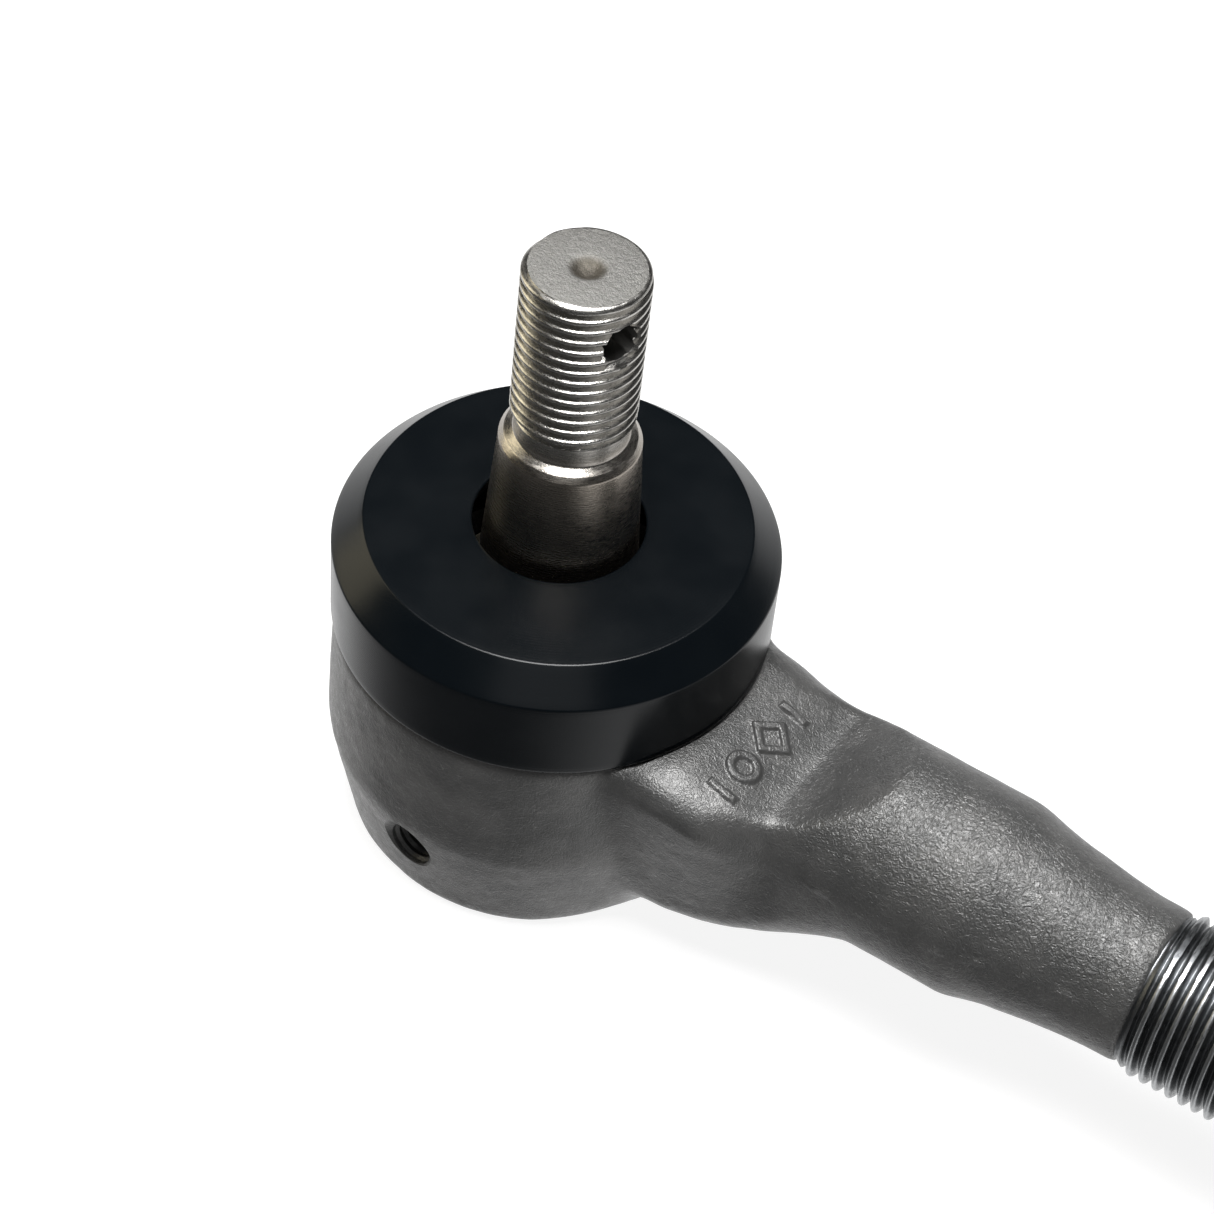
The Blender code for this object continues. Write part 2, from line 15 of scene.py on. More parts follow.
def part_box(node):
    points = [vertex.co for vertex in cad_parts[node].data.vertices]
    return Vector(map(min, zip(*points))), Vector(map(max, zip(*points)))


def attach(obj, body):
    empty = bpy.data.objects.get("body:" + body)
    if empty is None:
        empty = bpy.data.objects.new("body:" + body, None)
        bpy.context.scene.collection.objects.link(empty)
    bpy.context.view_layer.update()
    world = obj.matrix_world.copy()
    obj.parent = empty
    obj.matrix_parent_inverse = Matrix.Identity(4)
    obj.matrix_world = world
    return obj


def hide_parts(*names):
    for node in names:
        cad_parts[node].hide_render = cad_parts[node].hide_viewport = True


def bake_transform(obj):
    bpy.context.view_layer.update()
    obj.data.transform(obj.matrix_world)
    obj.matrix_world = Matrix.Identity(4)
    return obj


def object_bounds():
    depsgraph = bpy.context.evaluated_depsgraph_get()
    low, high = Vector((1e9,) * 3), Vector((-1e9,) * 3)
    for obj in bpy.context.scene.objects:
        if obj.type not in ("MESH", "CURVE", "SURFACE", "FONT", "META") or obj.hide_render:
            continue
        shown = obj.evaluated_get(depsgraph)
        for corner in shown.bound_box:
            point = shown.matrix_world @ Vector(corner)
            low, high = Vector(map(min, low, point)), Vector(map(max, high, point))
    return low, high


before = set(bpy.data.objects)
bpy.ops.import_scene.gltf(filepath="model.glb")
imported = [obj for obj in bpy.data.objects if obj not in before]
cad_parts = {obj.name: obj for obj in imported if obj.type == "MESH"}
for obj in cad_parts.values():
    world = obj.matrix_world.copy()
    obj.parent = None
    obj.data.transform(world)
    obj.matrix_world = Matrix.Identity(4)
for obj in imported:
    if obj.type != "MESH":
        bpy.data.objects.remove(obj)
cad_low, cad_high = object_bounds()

MM = 0.001

# ---- Sizes, from the frame where it has them ---------------------------------------
seal_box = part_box("dust_seal")
housing_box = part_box("socket_housing")
cover_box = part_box("end_cover")
washer_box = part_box("spring_washer")
spring_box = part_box("preload_spring")
lower_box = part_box("lower_bearing")

CLEARANCE = 0.3 * MM
BALL_RADIUS = 12.7 * MM
HEAD_DEPTH = 8.0 * MM
CROWN_HEIGHT = 7.5 * MM
SWING_LIMIT = radians(20)
SWING_CLEARANCE = 0.4 * MM
STUD_LEAN = radians(1.6)

seal_bottom, seal_top = seal_box[0].z, seal_box[1].z
socket_height = seal_bottom - CLEARANCE
ball_height = socket_height - CROWN_HEIGHT

LINER_WALL = 1.7 * MM
seat_radius = BALL_RADIUS + CLEARANCE
liner_radius = seat_radius + LINER_WALL
bore_radius = liner_radius + CLEARANCE
belly_radius = bore_radius + 8.2 * MM
pocket_radius = bore_radius + 3.4 * MM
cover_radius = pocket_radius - CLEARANCE
lip_radius = pocket_radius - 1.2 * MM
foot_radius = pocket_radius + 2.2 * MM
BELLY_HEIGHT = 13.1 * MM
TOP_INSET = 0.5 * MM
FOOT_ROUND = 1.3 * MM
LIP_HEIGHT = 0.9 * MM
cover_top = cover_box[1].z
cover_bottom = LIP_HEIGHT + CLEARANCE
COVER_DISH_RADIUS = 10.5 * MM

SEAL_RADIUS = 23.02 * MM
SEAL_CHAMFER = 3.2 * MM
SEAL_LIP = 2.0 * MM
SEAL_CAVITY_RADIUS = 15.2 * MM
SEAL_SHOULDER = 4.5 * MM
SEAL_GAP = 0.24 * MM
SEAL_FLARE = 0.6 * MM  # wider at the lip's underside, to clear the swung stud
SEAL_EDGE = 0.22 * MM

TAPER_PER_SIDE = 1.5 / 12 / 2
TAPER_TOP_RADIUS = 7.19 * MM
seal_top_on_stud = seal_top - ball_height
taper_top = seal_top_on_stud + 11.1 * MM
taper_bottom = seal_top_on_stud - 4.2 * MM
SHOULDER_ROUND = 1.2 * MM
RELIEF_RADIUS = 5.75 * MM
RELIEF_LENGTH = 2.6 * MM
STUD_THREAD_RADIUS = 6.35 * MM
STUD_THREAD_PITCH = 1.27 * MM
thread_bottom = taper_top + SHOULDER_ROUND + RELIEF_LENGTH
stud_tip = thread_bottom + 17.7 * MM
COTTER_HOLE_RADIUS = 2.0 * MM
COTTER_RIM_RADIUS = 2.7 * MM
cotter_height = stud_tip - 5.3 * MM
COTTER_HEADING = radians(-18)
DIMPLE_RADIUS = 2.15 * MM
DIMPLE_DEPTH = 0.75 * MM

shank_end = housing_box[1].x
SHANK_THREAD_RADIUS = 8.73 * MM
SHANK_THREAD_PITCH = 1.41 * MM
thread_start = shank_end - 44.5 * MM
THREAD_DEPTH_SHARE = 0.6134

NECK_END_RADIUS = 8.3 * MM
BARREL_RADIUS = 10.8 * MM
HUMP_SET = 0.2 * MM
WAIST_RADIUS = 9.8 * MM
PLATEAU_HALF_WIDTH = 11.8 * MM
PLATEAU_HEIGHT = 8.3 * MM
VALLEY_HEIGHT = 5.8 * MM
NECK_CORNER = 6.0 * MM
NECK_HALF_WIDTH = 12.4 * MM
NECK_DEPTH = 16.8 * MM
NECK_LOWER_CORNER = 5.5 * MM
# The next three go by distance from the socket's side, in mm.
NECK_TOP_PLACES = [-1.0, 1.0, 4.3, 8.0, 9.6, 12.0, 17.4, 18.8, 40.0]
NECK_TOP_RISE = [0, -0.3, -1.2, -2.5, -2.9, -2.2, 1.0, 2.2, 20.0]
SHOULDER_PLACES = [-1.0, 1.0, 4.3, 7.8, 10.5]
SHOULDER_SHARPER = [2.8, 2.8, 2.8, 1.6, 0]
SHOULDER_SWELL = [3.6, 3.6, 3.6, 1.6, 0]
SWELL_FOOT = 9 * MM  # below the shank's axis
SWELL_RISE = 12 * MM

# The forging's skin
WAVE_SIZE, WAVE_HEIGHT = 5 * MM, 0.055 * MM
DENT_SIZE, DENT_HEIGHT = 1.9 * MM, 0.035 * MM
PARTING_WIDTH = 0.3 * MM
PARTING_HEIGHT = 0.24 * MM
MARK_STROKE = 0.42 * MM  # half the width of a line
MARK_EDGE = 0.28 * MM
MARK_RISE = 0.34 * MM
MARK_HALF_LENGTH = 1.6 * MM

GREASE_HOLE_RADIUS = 2.6 * MM
GREASE_RIM_RADIUS = 3.2 * MM
GREASE_HOLE_HEIGHT = 8.2 * MM
GREASE_HEADING = radians(-95)

mouth_radius = sqrt(seat_radius**2 - CROWN_HEIGHT**2)
neck_radius = (
    mouth_radius - SWING_CLEARANCE - CROWN_HEIGHT * tan(SWING_LIMIT)
) * cos(SWING_LIMIT)

# ---- Fineness ----------------------------------------------------------------------
TURNED_SEGMENTS = 160
STUD_SEGMENTS = 96
SHANK_SEGMENTS = 120
ROWS_PER_PITCH = 14
FORGING_VOXEL = 0.4 * MM
NECK_STEP = 0.5 * MM
NECK_CORNER_STEPS = 14
SEAL_SEGMENTS = 192
INNER_SEGMENTS = 96
DRILL_SEGMENTS = 48


# ---- Mesh tools --------------------------------------------------------------------
def add_mesh(name, verts, faces, sharp=35):
    """A closed mesh object with its faces pointing outwards."""
    mesh = bpy.data.meshes.new(name)
    mesh.from_pydata([tuple(v) for v in verts], [], faces)
    work = bmesh.new()
    work.from_mesh(mesh)
    bmesh.ops.remove_doubles(work, verts=work.verts, dist=1e-7)
    bmesh.ops.dissolve_degenerate(work, edges=work.edges, dist=1e-8)
    bmesh.ops.recalc_face_normals(work, faces=work.faces)
    work.to_mesh(mesh)
    work.free()
    made = bpy.data.objects.new(name, mesh)
    bpy.context.scene.collection.objects.link(made)
    smooth(made, sharp)
    return made


def smooth(piece, sharp=35):
    piece.data.shade_smooth()
    piece.data.set_sharp_from_angle(angle=radians(sharp))


def ring(radius, height, segments):
    turns = [2 * pi * i / segments for i in range(segments)]
    return [(radius * cos(a), radius * sin(a), height) for a in turns]


def rounded(outline, steps=5, closed=False):
    """Rounds the corners of an outline of (radius, height, corner radius) points."""
    points = []
    count = len(outline)
    for i, (r, z, size) in enumerate(outline):
        inner = closed or 0 < i < count - 1
        if not inner or size <= 0:
            points.append((r, z))
            continue
        here = Vector((r, z))
        before = Vector(outline[i - 1][:2]) - here
        after = Vector(outline[(i + 1) % count][:2]) - here
        half = before.angle(after) / 2
        reach = min(size / tan(half), before.length * 0.45, after.length * 0.45)
        start = here + before.normalized() * reach
        end = here + after.normalized() * reach
        for k in range(steps + 1):
            t = k / steps
            bend = (1 - t) ** 2 * start + 2 * t * (1 - t) * here + t * t * end
            points.append((bend.x, bend.y))
    return points


def divided(points, longest, closed=False):
    """The same outline with no side longer than that."""
    ends = points[1:] + points[:1] if closed else points[1:]
    fine = []
    for (r0, z0), (r1, z1) in zip(points, ends):
        count = max(1, int(np.ceil(np.hypot(r1 - r0, z1 - z0) / longest)))
        for k in range(count):
            fine.append((r0 + (r1 - r0) * k / count, z0 + (z1 - z0) * k / count))
    return fine if closed else fine + [points[-1]]


def turned(name, points, segments=TURNED_SEGMENTS, closed=False):
    """A turned piece from (radius, height) points round Z."""
    verts = []
    rows = []
    for radius, height in points:
        at = len(verts)
        if radius > 1e-9:
            verts += ring(radius, height, segments)
            rows.append(list(range(at, at + segments)))
        else:
            verts.append((0, 0, height))
            rows.append([at] * segments)
    faces = []
    for low, high in zip(rows, rows[1:] + rows[:1] if closed else rows[1:]):
        for i in range(segments):
            j = (i + 1) % segments
            corners = [low[i], low[j], high[j], high[i]]
            faces.append(list(dict.fromkeys(corners)))
    return add_mesh(name, verts, faces)


def arc(centre_height, radius, start, end, steps=16):
    angles = [start + (end - start) * i / steps for i in range(steps + 1)]
    return [(radius * cos(a), centre_height + radius * sin(a)) for a in angles]


def boolean(piece, cutter, operation="DIFFERENCE"):
    """Applies a Boolean and takes the other shape away."""
    cut = piece.modifiers.new("cut", "BOOLEAN")
    cut.solver = "EXACT"
    cut.operation = operation
    cut.object = cutter
    apply_modifiers(piece)
    bpy.data.objects.remove(cutter, do_unlink=True)


def apply_modifiers(piece):
    graph = bpy.context.evaluated_depsgraph_get()
    mesh = bpy.data.meshes.new_from_object(piece.evaluated_get(graph))
    piece.modifiers.clear()
    old = piece.data
    piece.data = mesh
    bpy.data.meshes.remove(old)


def positions(mesh):
    flat = np.empty(len(mesh.vertices) * 3)
    mesh.vertices.foreach_get("co", flat)
    return flat.reshape(-1, 3)


def set_positions(mesh, points):
    mesh.vertices.foreach_set("co", points.ravel())
    mesh.update()


def relax(mesh, weight, rounds):
    """Moves each corner towards the middle of its neighbours, by its weight."""
    pairs = np.empty(len(mesh.edges) * 2, dtype=int)
    mesh.edges.foreach_get("vertices", pairs)
    a, b = pairs.reshape(-1, 2).T
    points = positions(mesh)
    count = len(points)
    degree = np.bincount(a, minlength=count) + np.bincount(b, minlength=count)
    for _ in range(rounds):
        mean = np.empty_like(points)
        for axis in range(3):
            v = points[:, axis]
            total = np.bincount(a, v[b], count) + np.bincount(b, v[a], count)
            mean[:, axis] = total / degree
        points += (mean - points) * weight[:, None]
    set_positions(mesh, points)


def corner_normals(mesh):
    flat = np.empty(len(mesh.vertices) * 3)
    mesh.vertex_normals.foreach_get("vector", flat)
    return flat.reshape(-1, 3)


def falloff(value, middle, width):
    """1 at the middle, 0 far from it."""
    return np.exp(-(((value - middle) / width) ** 2))


def noise_at(points, size, seed):
    """Smooth noise of about -1 to 1 with features of that size."""
    shift = Vector((seed * 17.3, seed * 5.1, seed * 9.7))
    return np.array([noise.noise(Vector(p) / size + shift) for p in points])


# ---- Threads -----------------------------------------------------------------------
def thread_height(turn, crest, root, softness):
    """Share of the thread's depth at a place within one turn; 0.5 is the crest."""
    away = np.abs(turn % 1.0 - 0.5)
    rise = np.clip((0.5 - root / 2 - away) / (0.5 - root / 2 - crest / 2), 0, 1)
    return (1 - softness) * rise + softness * (0.5 - 0.5 * np.cos(pi * rise))


def threaded_rod(name, major, pitch, bottom, top, segments, form, envelope, tip):
    """A rod round Z whose grid follows the thread's own spiral.

    envelope(height, angle) is the largest radius there; tip is an outline that
    carries on inwards from the rod's top.
    """
    minor = major - THREAD_DEPTH_SHARE * pitch
    rows = ROWS_PER_PITCH * (int(np.ceil((top - bottom) / pitch)) + 2)
    j, i = np.meshgrid(np.arange(rows + 1), np.arange(segments), indexing="ij")
    turn = j / ROWS_PER_PITCH + i / segments
    height = np.clip(bottom - pitch + pitch * turn, bottom, top)
    place = (height - bottom) / pitch - i / segments
    angle = 2 * pi * i / segments
    share = thread_height(place, *form)
    radius = np.minimum(minor + (major - minor) * share, envelope(height, angle))
    grid = np.stack((radius * np.cos(angle), radius * np.sin(angle), height), axis=-1)
    verts = grid.reshape(-1, 3).tolist()
    faces = []
    for row in range(rows):
        for k in range(segments - 1):
            at = row * segments + k
            faces.append([at, at + 1, at + segments + 1, at + segments])
        if row + 1 + ROWS_PER_PITCH <= rows:
            at = row * segments + segments - 1
            over = (row + ROWS_PER_PITCH) * segments
            faces.append([at, over, over + segments, at + segments])
    faces.append(list(range(segments)))
    below = rows * segments
    for r, z in tip:
        at = len(verts)
        verts += ring(r, z, segments)
        for k in range(segments):
            n = (k + 1) % segments
            faces.append([below + k, below + n, at + n, at + k])
        below = at
    faces.append(list(range(below, below + segments)))
    return add_mesh(name, verts, faces, sharp=50)


# ---- Socket, neck and shank --------------------------------------------------------
def socket_outline():
    top_radius = belly_radius - TOP_INSET
    outline = [
        (0, 0, 0),
        (foot_radius, 0, FOOT_ROUND),
        (belly_radius, BELLY_HEIGHT, 6 * MM),
        (top_radius, socket_height + 0.1 * MM, 0.8 * MM),
        (0, socket_height + 0.1 * MM, 0),
    ]
    return divided(rounded(outline, steps=8), 1.0 * MM)


def neck_stations():
    """x, then (half width, height, corner) above and below the shank's axis."""
    edge = belly_radius
    end = thread_start
    barrel = (BARREL_RADIUS, BARREL_RADIUS - HUMP_SET, BARREL_RADIUS)
    belly = (BARREL_RADIUS, BARREL_RADIUS + HUMP_SET, BARREL_RADIUS)
    waist = (WAIST_RADIUS,) * 3
    throat = (NECK_END_RADIUS + 0.4 * MM,) * 3
    rim = (NECK_END_RADIUS,) * 3

    def above(narrower, height, corner):
        return PLATEAU_HALF_WIDTH - narrower * MM, height, NECK_CORNER + corner * MM

    def below(narrower, shallower, corner):
        return (
            NECK_HALF_WIDTH - narrower * MM,
            NECK_DEPTH - shallower * MM,
            NECK_LOWER_CORNER + corner * MM,
        )

    top = PLATEAU_HEIGHT
    return [
        (bore_radius + 2 * MM, above(0, top, 0), below(0, 0, 0)),
        (edge - 1.0 * MM, above(0, top, 0), below(0, 0, 0)),
        (edge + 1.0 * MM, above(0.1, top - 0.3 * MM, 0), below(0.2, 0.3, 0)),
        (edge + 4.3 * MM, above(0.5, top - 1.3 * MM, -0.2), below(0.6, 0.9, 0)),
        (edge + 7.8 * MM, above(0.7, top - 0.7 * MM, 1.4), below(1.1, 1.7, 0.5)),
        (edge + 8.9 * MM, above(0.8, top - 0.1 * MM, 2.2), below(1.2, 2.1, 0.9)),
        (edge + 11.5 * MM, barrel, below(1.4, 3.0, 1.6)),
        (edge + 14.5 * MM, barrel, below(1.6, 4.1, 3.0)),
        (edge + 16.5 * MM, barrel, below(1.6, 4.8, 4.0)),
        (edge + 19.8 * MM, barrel, belly),
        (end - 18.5 * MM, barrel, belly),
        (end - 14.5 * MM, waist, waist),
        (end - 7.5 * MM, throat, throat),
        (end - 3.5 * MM, rim, rim),
        (end, rim, rim),
    ]


def neck_top(x):
    """Height of the neck's top: the flat, the valley, and the hump's sloping face."""
    away = (x - belly_radius) / MM
    return PLATEAU_HEIGHT + MM * np.interp(away, NECK_TOP_PLACES, NECK_TOP_RISE)


def near_side(x, values):
    """How much the neck's -Y shoulder stands out, or is sharper, towards the socket."""
    return MM * np.interp((x - belly_radius) / MM, SHOULDER_PLACES, values)


def neck_section(above, below, sharper, swell, top):
    """(y, z) corners of a rounded box, anticlockwise seen from +X."""
    near = (above[0], above[1], above[2] - sharper)
    points = []
    for start, side, (half_width, height, corner) in (
        (0, 1, above),
        (pi / 2, -1, near),
        (pi, -1, below),
        (3 * pi / 2, 1, below),
    ):
        corner = min(corner, half_width * 0.999, height * 0.999)
        up = 1 if start < pi else -1
        y, z = side * (half_width - corner), up * (height - corner)
        for i in range(NECK_CORNER_STEPS + 1):
            angle = start + pi / 2 * i / NECK_CORNER_STEPS
            points.append((y + corner * cos(angle), z + corner * sin(angle)))
    shaped = []
    for y, z in points:
        z = min(z, top)
        rise = min(1, max(0, (z + SWELL_FOOT) / SWELL_RISE))
        out = min(1, max(0, -y / above[0]))
        shaped.append((y - swell * out**2 * rise**2 * (3 - 2 * rise), z))
    return shaped


def neck_mesh():
    stations = neck_stations()
    places = np.array([s[0] for s in stations])
    sizes = np.array([s[1] + s[2] for s in stations])
    count = int((places[-1] - places[0]) / NECK_STEP)
    fine = np.linspace(places[0], places[-1], count)
    columns = []
    kernel = falloff(np.arange(-3, 4), 0, 1.1)
    kernel /= kernel.sum()
    for column in sizes.T:
        line = np.interp(fine, places, column)
        padded = np.pad(line, 3, mode="edge")
        columns.append(np.convolve(padded, kernel, mode="valid"))
    verts = []
    for x, *values in zip(fine, *columns):
        section = neck_section(
            values[:3],
            values[3:],
            near_side(x, SHOULDER_SHARPER),
            near_side(x, SHOULDER_SWELL),
            neck_top(x),
        )
        verts += [(x, y, ball_height + z) for y, z in section]
    width = 4 * (NECK_CORNER_STEPS + 1)
    faces = [list(range(width))]
    for row in range(count - 1):
        for i in range(width):
            j = (i + 1) % width
            low, high = row * width, (row + 1) * width
            faces.append([low + i, low + j, high + j, high + i])
    faces.append(list(range(len(verts) - width, len(verts))))
    return add_mesh("neck_shape", verts, faces)


def socket_radius_at(height):
    low = foot_radius + (belly_radius - foot_radius) * height / BELLY_HEIGHT
    return np.where(height < BELLY_HEIGHT, low, belly_radius - TOP_INSET / 2)


def forge(piece):
    """Rounds the join of neck and socket and gives the skin its slight waves."""
    mesh = piece.data
    points = positions(mesh)
    x, y, z = points.T
    out = np.hypot(x, y)
    off_wall = out - socket_radius_at(z)
    beside = falloff(off_wall, 0, 3.2 * MM) * falloff(np.abs(y), 12.3 * MM, 3.6 * MM)
    under_height = ball_height - NECK_DEPTH
    under = falloff(off_wall, 0, 2.5 * MM) * falloff(z, under_height, 2.6 * MM)
    corner = np.clip(beside + under * (np.abs(y) < 13 * MM), 0, 1) * (x > 0)
    corner *= z < ball_height + PLATEAU_HEIGHT - 1.6 * MM
    relax(mesh, np.full(len(points), 0.5), 9)
    relax(mesh, 0.6 * corner, 90)
    points = positions(mesh)
    normals = corner_normals(mesh)
    waves = noise_at(points, WAVE_SIZE, 1) * WAVE_HEIGHT
    waves += noise_at(points, DENT_SIZE, 2) * DENT_HEIGHT
    waves += parting_line(points, normals)
    points = points + normals * waves[:, None]
    points[:, 2] = np.maximum(points[:, 2], cad_low.z)  # the foot stays on the floor
    set_positions(mesh, points)


def parting_line(points, normals):
    """A faint broken ridge along both sides of the neck, where the dies met."""
    x, y, z = points.T
    height = ball_height + 1.2 * MM + 0.08 * np.clip(x - 42 * MM, 0, 18 * MM)
    side = np.clip(np.abs(normals[:, 1]) * 1.6 - 0.6, 0, 1)
    along = np.clip((x - 36 * MM) / (4 * MM), 0, 1)
    broken = np.clip(noise_at(points, 2.0 * MM, 5) * 2.6 + 0.3, 0, 1)
    return falloff(z, height, PARTING_WIDTH) * side * along * broken * PARTING_HEIGHT


def mark_height(u, v):
    """Plain raised shapes in a row along u: bar, ring, diamond, bar."""
    length = np.abs(v) - MARK_HALF_LENGTH
    bar = np.maximum(np.abs(u + 6.6 * MM) - MARK_STROKE, length)
    far_bar = np.maximum(np.abs(u - 6.4 * MM) - MARK_STROKE, length)
    circle = np.abs(np.hypot(u + 2.7 * MM, v) - 1.4 * MM) - MARK_STROKE
    diamond = np.abs(np.abs(u - 2.3 * MM) + np.abs(v) - 1.9 * MM) - MARK_STROKE * 1.3
    near = np.minimum(np.minimum(bar, far_bar), np.minimum(circle, diamond))
    return np.clip(0.5 - near / MARK_EDGE, 0, 1)


def raise_marks(piece):
    """Raised marks on the flat beside the seal."""
    row_x, row_y = 27.7 * MM, -3.4 * MM
    lean = radians(-2)
    mesh = piece.data

    def local(points):
        x, y = points[:, 0] - row_x, points[:, 1] - row_y
        u = y * cos(lean) - x * sin(lean)
        v = x * cos(lean) + y * sin(lean)
        return u, v

    def chosen(points, normals):
        u, v = local(points)
        top = points[:, 2] > ball_height + VALLEY_HEIGHT - MM
        near = (np.abs(u) < 7.6 * MM) & (np.abs(v) < 2.5 * MM)
        return near & top & (normals[:, 2] > 0.5)

    picked = chosen(positions(mesh), corner_normals(mesh))
    work = bmesh.new()
    work.from_mesh(mesh)
    work.verts.ensure_lookup_table()
    edges = [e for e in work.edges if picked[[v.index for v in e.verts]].all()]
    bmesh.ops.subdivide_edges(work, edges=edges, cuts=2, use_grid_fill=True)
    work.to_mesh(mesh)
    work.free()
    points = positions(mesh)
    lift = chosen(points, corner_normals(mesh)) * mark_height(*local(points))
    points[:, 2] += lift * MARK_RISE
    set_positions(mesh, points)


def bore_shape():
    crown = arc(ball_height, bore_radius, 0, asin(CROWN_HEIGHT / bore_radius))
    through = 2 * MM
    pocket_top = cover_top + CLEARANCE
    outline = [
        (0, -through),
        (lip_radius + 0.35 * MM, -through),
        (lip_radius + 0.35 * MM, 0),
        (lip_radius, 0.35 * MM),
        (lip_radius, LIP_HEIGHT),
        (pocket_radius, LIP_HEIGHT),
        (pocket_radius, pocket_top),
        (bore_radius, pocket_top),
        *crown,
        (crown[-1][0], socket_height + through),
        (0, socket_height + through),
    ]
    return turned("bore_shape", outline)


def grease_drill():
    """A tapped hole's shape, laid along its heading."""
    share = GREASE_HOLE_HEIGHT / BELLY_HEIGHT
    wall = foot_radius + (belly_radius - foot_radius) * share - 0.05 * MM
    flare = GREASE_RIM_RADIUS - GREASE_HOLE_RADIUS
    pitch = 0.9 * MM
    groove = 0.3 * MM
    start = bore_radius - 2 * MM
    outline = [(0, start), (GREASE_HOLE_RADIUS - groove, start)]
    turns = int((wall - flare - start) / pitch)
    for i in range(turns):
        low = wall - flare - pitch * (turns - i)
        outline.append((GREASE_HOLE_RADIUS - groove, low + pitch * 0.1))
        outline.append((GREASE_HOLE_RADIUS, low + pitch * 0.5))
    outline += [
        (GREASE_HOLE_RADIUS, wall - flare),
        (GREASE_RIM_RADIUS - 0.1 * MM, wall - 0.25 * MM),
        (GREASE_RIM_RADIUS + 0.25 * MM, wall + 0.1 * MM),
        (GREASE_RIM_RADIUS + 2 * MM, wall + 2 * MM),
        (0, wall + 2 * MM),
    ]
    drill = turned("grease_drill", outline, DRILL_SEGMENTS)
    drill.data.transform(
        Matrix.Translation((0, 0, GREASE_HOLE_HEIGHT))
        @ Matrix.Rotation(GREASE_HEADING, 4, "Z")
        @ Matrix.Rotation(pi / 2, 4, "Y")
    )
    return drill


def make_forging():
    piece = turned("socket_forging", socket_outline())
    neck = neck_mesh()
    boolean(piece, neck, "UNION")
    skin = piece.modifiers.new("skin", "REMESH")
    skin.mode = "VOXEL"
    skin.voxel_size = FORGING_VOXEL
    apply_modifiers(piece)
    forge(piece)
    raise_marks(piece)
    seat = turned(
        "seat_shape",
        [
            (0, socket_height),
            (SEAL_RADIUS + CLEARANCE, socket_height),
            (SEAL_RADIUS + CLEARANCE + 0.3 * MM, socket_height + 4 * MM),
            (0, socket_height + 4 * MM),
        ],
    )
    boolean(piece, seat)
    boolean(piece, bore_shape())
    boolean(piece, grease_drill())
    smooth(piece, 38)
    return piece


def make_shank():
    """The rolled thread; its first turns on top stay flat, as the forging left them."""
    minor = SHANK_THREAD_RADIUS - THREAD_DEPTH_SHARE * SHANK_THREAD_PITCH
    bottom = thread_start - 1.5 * MM

    def envelope(height, angle):
        # laid along +X, the rod's -X side is on top
        top_side = falloff(angle, pi, radians(24))
        first = np.clip(1 - (height - thread_start) / (4.5 * SHANK_THREAD_PITCH), 0, 1)
        limit = SHANK_THREAD_RADIUS - 0.42 * MM * top_side * first
        run_in = np.clip((height - thread_start) / (0.9 * SHANK_THREAD_PITCH), 0, 1)
        limit = np.minimum(limit, minor + (SHANK_THREAD_RADIUS - minor) * run_in)
        from_end = shank_end - height
        cone = minor - 0.45 * MM + from_end * 0.9
        return np.minimum(limit, np.maximum(cone, 0))

    rod = threaded_rod(
        "shank_thread",
        SHANK_THREAD_RADIUS,
        SHANK_THREAD_PITCH,
        bottom,
        shank_end,
        SHANK_SEGMENTS,
        (0.2, 0.1, 0.35),
        envelope,
        [(minor - 0.9 * MM, shank_end)],
    )
    rod.data.transform(
        Matrix.Translation((0, 0, ball_height)) @ Matrix.Rotation(pi / 2, 4, "Y")
    )
    return rod


# ---- Stud --------------------------------------------------------------------------
def on_stud(piece):
    """Moves a piece made round Z at the ball's centre onto the leaning stud."""
    piece.matrix_world = Matrix.Translation((0, 0, ball_height)) @ Matrix.Rotation(
        -STUD_LEAN, 4, "X"
    )
    return piece


def make_shaft():
    low = -CLEARANCE / 2
    head = arc(
        0,
        BALL_RADIUS,
        -asin(HEAD_DEPTH / BALL_RADIUS),
        asin(low / BALL_RADIUS),
    )
    taper_foot = TAPER_TOP_RADIUS + TAPER_PER_SIDE * (taper_top - taper_bottom)
    outline = [
        (neck_radius, low, 0),
        (neck_radius, taper_bottom - 3.5 * MM, 2 * MM),
        (taper_foot - 0.2 * MM, taper_bottom - 0.6 * MM, 0.4 * MM),
        (taper_foot, taper_bottom, 0.4 * MM),
        (TAPER_TOP_RADIUS, taper_top - 0.1 * MM, 0.5 * MM),
        (TAPER_TOP_RADIUS - 0.5 * MM, taper_top + 0.55 * MM, 0.5 * MM),
        (RELIEF_RADIUS + 0.05 * MM, taper_top + SHOULDER_ROUND * 0.9, 0.5 * MM),
        (RELIEF_RADIUS, taper_top + SHOULDER_ROUND + 0.3 * MM, 0.2 * MM),
        (RELIEF_RADIUS, thread_bottom - 0.1 * MM, 0.15 * MM),
        (RELIEF_RADIUS - 0.5 * MM, thread_bottom + 0.25 * MM, 0),
        (0, thread_bottom + 0.25 * MM, 0),
    ]
    points = [(0, head[0][1]), *head, *rounded(outline)]
    return on_stud(turned("stud_shaft", divided(points, 1.2 * MM), STUD_SEGMENTS))


def cotter_place():
    """Lays a shape made round Z along the cross hole."""
    return (
        Matrix.Translation((0, 0, cotter_height))
        @ Matrix.Rotation(COTTER_HEADING, 4, "Z")
        @ Matrix.Rotation(pi / 2, 4, "Y")
    )


